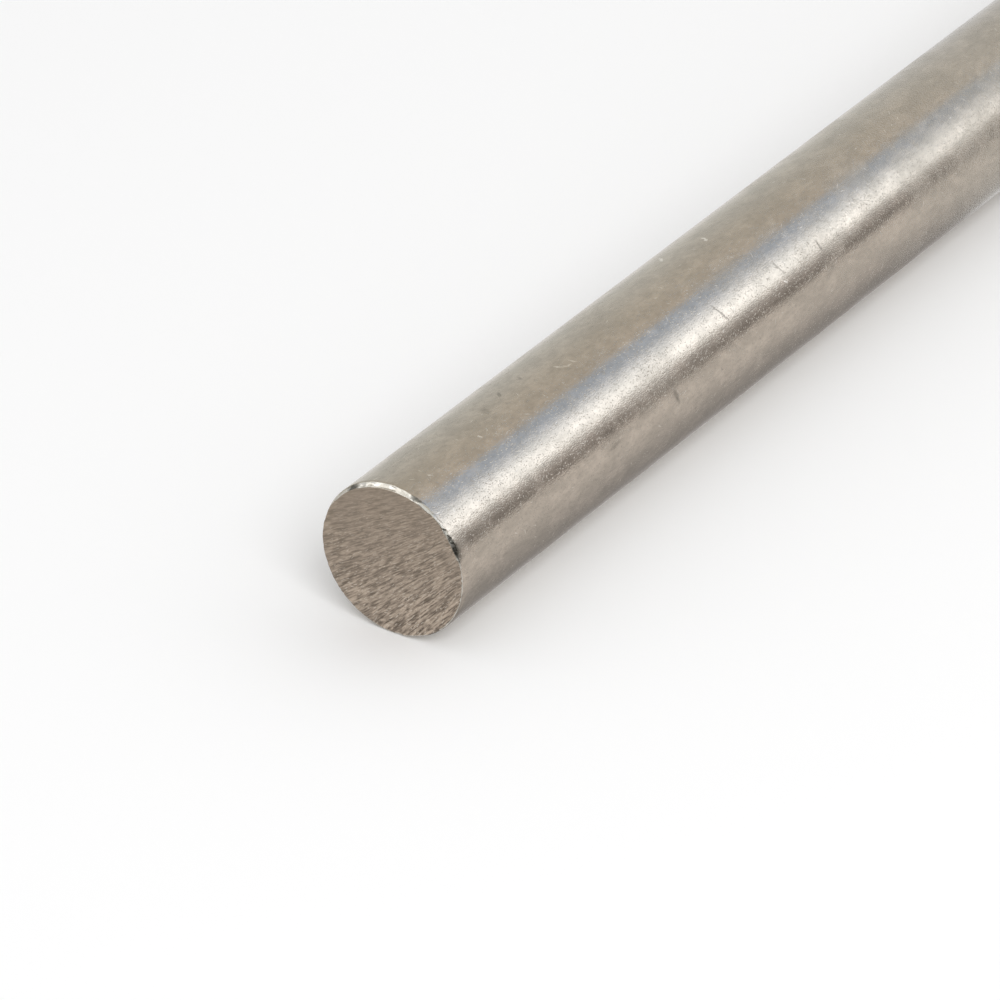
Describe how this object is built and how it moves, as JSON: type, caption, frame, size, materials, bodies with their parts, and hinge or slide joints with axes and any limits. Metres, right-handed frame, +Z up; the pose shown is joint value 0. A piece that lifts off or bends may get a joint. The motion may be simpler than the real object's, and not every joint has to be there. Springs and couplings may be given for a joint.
{
  "type": "round metal bar",
  "caption": "Solid round bar of mill-finish metal, drawn straight and sawn square at both ends: stock to cut, turn, clamp or slide through a hole.",
  "frame": {"origin": "on the floor, at the centre of the sawn end that the bar stands on", "axes": "+Z up along the bar's axis, towards its other sawn end; X and Y across the bar, which is alike all round"},
  "size_m": [0.0126, 0.0126, 0.3048],
  "materials": {
    "bar_metal": "mill finish: drawn satin surface with fine handling scuffs, matt sawn ends with raised blade marks"
  },
  "bodies": {
    "root": {"round_bar": "bar_metal"}
  },
  "joints": []
}
